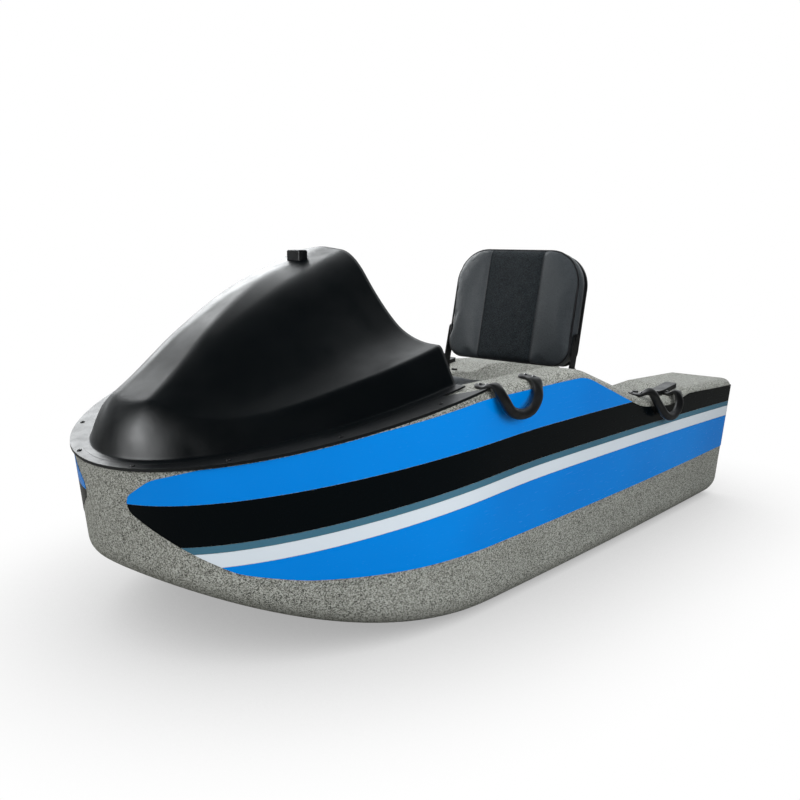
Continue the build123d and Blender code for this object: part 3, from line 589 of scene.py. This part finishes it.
# Rows of x, crown half width and height, haunch half width and height, valley half width and rise
ROOF = [
    (0.383, 0.008, 0.809, 0.103, 0.799, 0.284, 0.084),
    (0.450, 0.008, 0.787, 0.104, 0.776, 0.284, 0.082),
    (0.600, 0.014, 0.732, 0.108, 0.712, 0.284, 0.076),
    (0.740, 0.040, 0.650, 0.104, 0.628, 0.243, 0.064),
    (0.850, 0.056, 0.562, 0.098, 0.547, 0.193, 0.056),
    (0.950, 0.060, 0.490, 0.095, 0.481, 0.130, 0.050),
    (1.030, 0.060, 0.420, 0.095, 0.411, 0.120, 0.020),
]
# Rows of x, how far the plinth leans in for its height, its edge's rise, and its edge's softness
PLINTH = [
    (0.383, 0.50, 0.080, 0.012),
    (0.600, 0.50, 0.065, 0.014),
    (0.740, 0.48, 0.051, 0.018),
    (0.850, 0.42, 0.041, 0.030),
    (0.920, 0.34, 0.034, 0.050),
    (0.970, 0.26, 0.026, 0.070),
]


def row_at(table, x):
    """The table's row at x, on a smooth curve through its rows."""
    x = min(max(x, table[0][0]), table[-1][0])
    k = max(i for i in range(len(table) - 1) if table[i][0] <= x)
    a, b = table[k], table[k + 1]
    before, after = table[max(k - 1, 0)], table[min(k + 2, len(table) - 1)]
    h = b[0] - a[0]
    u = (x - a[0]) / h
    row = []
    for c in range(1, len(a)):
        slope_a = (b[c] - before[c]) / (b[0] - before[0])
        slope_b = (after[c] - a[c]) / (after[0] - a[0])
        row.append((2 * u**3 - 3 * u**2 + 1) * a[c] + (u**3 - 2 * u**2 + u) * h * slope_a
                   + (3 * u**2 - 2 * u**3) * b[c] + (u**3 - u**2) * h * slope_b)
    return row


def soft_turn(y, at, reach):
    """A ramp that starts at a place, rounded over a reach each side of it."""
    if y <= at - reach:
        return 0.0
    if y >= at + reach:
        return y - at
    return (y - at + reach) ** 2 / (4 * reach)


def soft_min(a, b, k):
    """The lower of two heights, blended where they are within k of each other."""
    h = max(k - abs(a - b), 0.0) / k
    return min(a, b) - h * h * k / 4


def flange_z(x):
    """The height of the flange's top at x."""
    return FLANGE_TOP[0] + FLANGE_TOP[2] * (FLANGE_TOP[1] - x)


def cowl_height(x, y):
    """Height of the cowl's outside over a point of the flange's plane."""
    y = abs(y)
    base = flange_z(x)
    crown, crown_z, haunch, haunch_z, valley, rise = row_at(ROOF, x)
    lean, edge_rise, soft = row_at(PLINTH, x)
    flank = valley - haunch
    knee = haunch + KNEE_OUT * flank
    valley_z = base + rise
    knee_z = valley_z + KNEE_UP * (haunch_z - valley_z)
    foot_y = FOOT[1] * math.sqrt(max(1 - ((x - CENTRE_X) / FOOT[0]) ** 2, 0.0))
    edge_y = max(foot_y - lean * edge_rise, valley + 0.01)
    slopes = [0.0, (haunch_z - crown_z) / (haunch - crown), (knee_z - haunch_z) / (knee - haunch)]
    slopes += [(valley_z - knee_z) / (valley - knee), (base + edge_rise - valley_z) / (edge_y - valley)]
    turns = [(crown, min(0.011, crown)), (haunch, 0.04), (knee, 0.34 * flank), (valley, 0.3 * flank)]
    roof = crown_z
    for (at, reach), s0, s1 in zip(turns, slopes, slopes[1:]):
        roof += (s1 - s0) * soft_turn(y, at, reach)
    u, v = (x - CENTRE_X) / FOOT[0], y / FOOT[1]
    rho = math.hypot(u, v)
    inset = (1 - rho) * rho / max(math.hypot(u / FOOT[0], v / FOOT[1]), 1e-6)
    wall = base + inset / lean
    top = soft_min(roof, wall, soft)
    return -soft_min(-top, -(base + HEM_LIFT), HEM_SOFT)


def cowl_skin(across=168, along=126):
    """The cowl above its flange, as a thin shell."""
    bm = bmesh.new()
    last = math.acos((REAR_X - CENTRE_X) / STRIP[0])
    grid = []
    for i in range(1, along + 1):
        a = last * i / along
        x = CENTRE_X + STRIP[0] * math.cos(a)
        half = STRIP[1] * math.sin(a)
        row = []
        for j in range(across + 1):
            u = 2 * j / across - 1
            y = u * (1.45 - 0.45 * u * u) * half
            row.append(bm.verts.new((x, y, cowl_height(x, y))))
        grid.append(row)
    tip_x = CENTRE_X + STRIP[0]
    tip = bm.verts.new((tip_x, 0, flange_z(tip_x) + HEM_LIFT))
    for j in range(across):
        bm.faces.new((tip, grid[0][j], grid[0][j + 1]))
    for low, high in zip(grid, grid[1:]):
        for j in range(across):
            bm.faces.new((low[j], high[j], high[j + 1], low[j + 1]))
    bmesh.ops.recalc_face_normals(bm, faces=bm.faces)
    if sum(f.normal.z for f in bm.faces) < 0:
        bmesh.ops.reverse_faces(bm, faces=bm.faces)
    mesh = bpy.data.meshes.new("cowl_skin")
    bm.to_mesh(mesh)
    bm.free()
    obj = bpy.data.objects.new("cowl_skin", mesh)
    scene.collection.objects.link(obj)
    shell = obj.modifiers.new("shell", "SOLIDIFY")
    shell.thickness = SKIN_THICK
    shell.offset = -1.0
    bpy.context.view_layer.objects.active = obj
    bpy.ops.object.modifier_apply(modifier="shell")
    obj.data.shade_smooth()
    return obj


def part_copy(name, source, keep=None, change=None):
    """A copy of a CAD node's mesh, with only the faces to keep and its points changed."""
    mesh = nodes[source].data.copy()
    mesh.name = name
    bm = bmesh.new()
    bm.from_mesh(mesh)
    if keep:
        bmesh.ops.delete(bm, geom=[f for f in bm.faces if not keep(f)], context="FACES")
    if change:
        for v in bm.verts:
            v.co = change(v.co)
    bm.to_mesh(mesh)
    bm.free()
    obj = bpy.data.objects.new(name, mesh)
    scene.collection.objects.link(obj)
    return obj


def on_flange(face):
    return all(v.co.z < flange_z(v.co.x) + 0.0003 for v in face.verts)


def within_skin(p):
    """The dash is drawn in a little, to stay inside the skin."""
    return Vector((p.x, p.y * 0.925, p.z))


skin = cowl_skin()
skin.data.materials.append(cowl_mat)
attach(skin, "kart")
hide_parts("cowl")
flange = part_copy("cowl_flange", "cowl", keep=on_flange)
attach(flange, "kart")
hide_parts("cowl")
dash = part_copy("dash_moulding", "dash_panel", change=within_skin)
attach(dash, "kart")
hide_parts("dash_panel")


# ------------------------------------------------------------ cowl fittings
# Screws through the flange, by their angle from the bow, and how far in from its edge they sit
FLANGE_SCREWS = (12, 34, 55, 75)
SCREW_INSET = (0.009, 0.022)

deck = tree_of("hull", "cowl")
bm = bmesh.new()
for half_angle in FLANGE_SCREWS:
    for side in (-1, 1):
        a = math.radians(half_angle)
        x = CENTRE_X + (FLANGE[0] - SCREW_INSET[0]) * math.cos(a)
        y = side * (FLANGE[1] - SCREW_INSET[1]) * math.sin(a)
        hit, normal = drop(deck, x, y)
        if hit:
            screw(bm, hit, normal, 0.0052, 0.0022)
new_object("cowl_screws", finish_bmesh(bm, "cowl_screws"), black_mat, "kart")


# -------------------------------------------------------------- grab handles
# The middle line of a port handle from foot to foot; None is the deck's own height there
FRONT_HANDLE = [
    (0.352, 0.441, None), (0.357, 0.468, None), (0.357, 0.491, 0.527), (0.347, 0.508, 0.498),
    (0.326, 0.5115, 0.472), (0.288, 0.5115, 0.4595), (0.250, 0.5115, 0.464), (0.221, 0.507, 0.487),
    (0.205, 0.492, 0.519), (0.198, 0.470, None), (0.195, 0.443, None),
]
REAR_HANDLE = [
    (-0.338, 0.425, None), (-0.352, 0.450, None), (-0.372, 0.474, 0.418), (-0.396, 0.487, 0.382),
    (-0.424, 0.492, 0.353), (-0.458, 0.493, 0.341), (-0.492, 0.492, 0.347), (-0.520, 0.487, 0.369),
    (-0.536, 0.472, 0.396), (-0.545, 0.446, None), (-0.550, 0.422, None),
]
# Half width and half thickness of a foot and of the grip, and how a foot runs into the grip
FOOT_SECTION = (0.0145, 0.0045)
GRIP_SECTION = (0.0120, 0.0118)
FOOT_LENGTH = 0.036
FOOT_BLEND = 0.05
# Screws through each foot, by their distance from its end
FOOT_SCREWS = (0.012, 0.036)


def handle_path(rows, tree, per=7):
    """The handle's middle line, smooth, with its feet on the deck."""
    points = []
    for x, y, z in rows:
        if z is None:
            hit, _ = drop(tree, x, y)
            z = hit.z + FOOT_SECTION[1] * 0.8
        points.append(Vector((x, y, z)))
    ends = [points[0] * 2 - points[1]] + points + [points[-1] * 2 - points[-2]]
    path = []
    for a, b, c, d in zip(ends, ends[1:], ends[2:], ends[3:]):
        for k in range(per):
            u = k / per
            path.append(0.5 * (2 * b + (c - a) * u + (2 * a - 5 * b + 4 * c - d) * u * u
                               + (3 * b - a - 3 * c + d) * u**3))
    return path + [points[-1]]


def direction_at(path, k):
    return (path[min(k + 1, len(path) - 1)] - path[max(k - 1, 0)]).normalized()


def distances(path):
    """How far along the path each of its points is."""
    lengths = [0.0]
    for a, b in zip(path, path[1:]):
        lengths.append(lengths[-1] + (b - a).length)
    return lengths


def grab_handles(name, node, path, steps=24):
    """Both sides' handles: a round grip that flattens into a foot at each end."""
    bm = bmesh.new()
    lengths = distances(path)
    rings = []
    for k, p in enumerate(path):
        run = direction_at(path, k)
        end = min(lengths[k], lengths[-1] - lengths[k])
        grip = min(max((end - FOOT_LENGTH) / FOOT_BLEND, 0.0), 1.0)
        grip = grip * grip * (3 - 2 * grip)
        face = Vector((0, grip, 1 - grip))
        face = (face - run * face.dot(run)).normalized()
        wide = run.cross(face)
        half, thick = (FOOT_SECTION[i] + grip * (GRIP_SECTION[i] - FOOT_SECTION[i]) for i in (0, 1))
        half *= min(1.0, 0.62 + end / 0.024)
        power = 0.55 + 0.45 * grip
        ring = []
        for j in range(steps):
            a = 2 * math.pi * j / steps
            u = half * math.copysign(abs(math.cos(a)) ** power, math.cos(a))
            v = thick * math.copysign(abs(math.sin(a)) ** power, math.sin(a))
            ring.append(p + wide * u + face * v)
        rings.append(ring)
    for side in (1, -1):
        made = [[bm.verts.new((q.x, q.y * side, q.z)) for q in ring] for ring in rings]
        for low, high in zip(made, made[1:]):
            for j in range(steps):
                bm.faces.new((low[j], low[(j + 1) % steps], high[(j + 1) % steps], high[j]))
        bm.faces.new(made[0])
        bm.faces.new(made[-1])
    obj = new_object(name, finish_bmesh(bm, name), grip_mat, "kart")
    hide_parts(node)


def handle_screws(name, path):
    """Two bright pan screws through each foot."""
    bm = bmesh.new()
    lengths = distances(path)
    for spot in FOOT_SCREWS + tuple(lengths[-1] - s for s in FOOT_SCREWS):
        k = min(range(len(path)), key=lambda i: abs(lengths[i] - spot))
        run = direction_at(path, k)
        face = Vector((0, 0, 1))
        face = (face - run * face.z).normalized()
        top = path[k] + face * FOOT_SECTION[1]
        for side in (1, -1):
            place = (top.x, top.y * side, top.z)
            screw(bm, place, (face.x, face.y * side, face.z), 0.0052, 0.003)
    new_object(name, finish_bmesh(bm, name), screw_mat, "kart")


hull_tree = tree_of("hull")
for place, rows in (("front", FRONT_HANDLE), ("rear", REAR_HANDLE)):
    middle_line = handle_path(rows, hull_tree)
    grab_handles(f"{place}_grab_handles", f"{place}_handles", middle_line)
    handle_screws(f"{place}_handle_screws", middle_line)


# -------------------------------------------------------------- camera, light
# The photograph's point of view, and its focal length in pixels of an 800-pixel frame
EYE = (1.91015, 1.62855, 0.8464)
HEADING = math.radians(42.12)
PITCH = math.radians(10.34)
FOCAL = 931.0
FRAME = 800.0
SENSOR = 36.0

# Brightness of the room as a fill, and the room as gloss shows it: which way is beyond the
# object, and the level at a share of that way, first where it is dim and then where it is white
FILL = 0.34
ROOM_AXIS = (-0.70, -0.64, 0.10)
ROOM_DIM = (0.35, 0.015)
ROOM_WHITE = (0.85, 1.3)

COOL = (0.97, 0.99, 1.0)
# Name, place, aim, size, power, tone, and whether gloss shows it
LAMPS = [
    ("front", (1.1, 3.4, 1.5), (-0.15, 0.3, 0.3), (2.8, 1.6), 84, (0.95, 0.98, 1.0), False),
    ("top", (0.3, -0.3, 3.8), (0.1, 0, 0.4), (2.4, 2.4), 70, COOL, False),
    ("key", (-0.75, -3.3, 2.3), (0.3, 0, 0.5), (2.6, 1.9), 62, COOL, True),
    ("side", (3.2, -1.0, 1.3), (-0.34, 0, 0.62), (1.3, 1.1), 38, COOL, True),
]

level_look = math.cos(PITCH)
look = Vector((-math.cos(HEADING) * level_look, -math.sin(HEADING) * level_look, -math.sin(PITCH)))
camera_data = bpy.data.cameras.new("camera")
camera_data.sensor_width = SENSOR
camera_data.lens = SENSOR * FOCAL / FRAME
camera_data.clip_start = 0.05
camera = bpy.data.objects.new("camera", camera_data)
camera.location = EYE
camera.rotation_euler = look.to_track_quat("-Z", "Y").to_euler()
scene.collection.objects.link(camera)
scene.camera = camera

scene.view_settings.view_transform = "Standard"
scene.view_settings.look = "None"
scene.view_settings.exposure = 0.0

world = bpy.data.worlds.new("studio")
scene.world = world
world.use_nodes = True
tree = world.node_tree
background = next(n for n in tree.nodes if n.type == "BACKGROUND")
background.inputs[0].default_value = (0.93, 0.97, 1.0, 1)
background.inputs[1].default_value = FILL
path = tree.nodes.new("ShaderNodeLightPath")
# The room is white beyond the object and dim on the near side, as its gloss shows it
direction = tree.nodes.new("ShaderNodeTexCoord").outputs["Generated"]
facing = tree.nodes.new("ShaderNodeVectorMath")
facing.operation = "DOT_PRODUCT"
facing.inputs[1].default_value = ROOM_AXIS
tree.links.new(direction, facing.inputs[0])
room_level = tree.nodes.new("ShaderNodeMapRange")
room_level.interpolation_type = "SMOOTHSTEP"
room_level.inputs["From Min"].default_value = ROOM_DIM[0]
room_level.inputs["From Max"].default_value = ROOM_WHITE[0]
room_level.inputs["To Min"].default_value = ROOM_DIM[1]
room_level.inputs["To Max"].default_value = ROOM_WHITE[1]
tree.links.new(facing.outputs["Value"], room_level.inputs["Value"])
room = tree.nodes.new("ShaderNodeBackground")
room.inputs[0].default_value = (0.95, 0.98, 1.0, 1)
tree.links.new(room_level.outputs["Result"], room.inputs[1])
white = tree.nodes.new("ShaderNodeBackground")
white.inputs[0].default_value = (1, 1, 1, 1)
white.inputs[1].default_value = 1.0
output = next(n for n in tree.nodes if n.type == "OUTPUT_WORLD")
last = background.outputs[0]
for ray, shader in (("Is Glossy Ray", room), ("Is Transmission Ray", white), ("Is Camera Ray", white)):
    switch = tree.nodes.new("ShaderNodeMixShader")
    tree.links.new(path.outputs[ray], switch.inputs[0])
    tree.links.new(last, switch.inputs[1])
    tree.links.new(shader.outputs[0], switch.inputs[2])
    last = switch.outputs[0]
tree.links.new(last, output.inputs[0])


def softbox(name, location, aim, size, power, tone, in_gloss):
    data = bpy.data.lights.new(name, "AREA")
    data.shape = "RECTANGLE"
    data.size, data.size_y = size
    data.energy = power
    data.color = tone
    obj = bpy.data.objects.new(name, data)
    obj.location = location
    obj.rotation_euler = (Vector(aim) - Vector(location)).to_track_quat("-Z", "Y").to_euler()
    obj.visible_glossy = in_gloss
    scene.collection.objects.link(obj)


for lamp in LAMPS:
    softbox(*lamp)

floor_data = bpy.data.meshes.new("floor")
floor_bm = bmesh.new()
bmesh.ops.create_grid(floor_bm, x_segments=1, y_segments=1, size=30)
floor_bm.to_mesh(floor_data)
floor_bm.free()
floor = bpy.data.objects.new("floor", floor_data)
floor.location = (0, 0, -0.0005)
scene.collection.objects.link(floor)
floor_mat = Shader("floor_paint", (0.2, 0.195, 0.18), rough=0.9, spec=0.0)
floor_mat.bump(floor_mat.noise(40, 3.0), 0.0003, 0.1)
# Seen by the camera, the floor is as white as the room, but for the shade close under the object
shade = floor_mat.node("ShaderNodeAmbientOcclusion", {"Distance": 0.5}, samples=12)
level = floor_mat.ramp(shade.outputs["AO"], 0.0, 0.96, 0.35, 1.0)
glow = floor_mat.node("ShaderNodeEmission", {"Strength": level, "Color": (1, 1, 1, 1)})
seen = floor_mat.node("ShaderNodeLightPath").outputs["Is Camera Ray"]
both = floor_mat.node("ShaderNodeMixShader", {0: seen, 1: floor_mat.bsdf.outputs[0], 2: glow.outputs[0]})
surface = next(n for n in floor_mat.tree.nodes if n.type == "OUTPUT_MATERIAL")
floor_mat.tree.links.new(both.outputs[0], surface.inputs["Surface"])
floor_data.materials.append(floor_mat.mat)
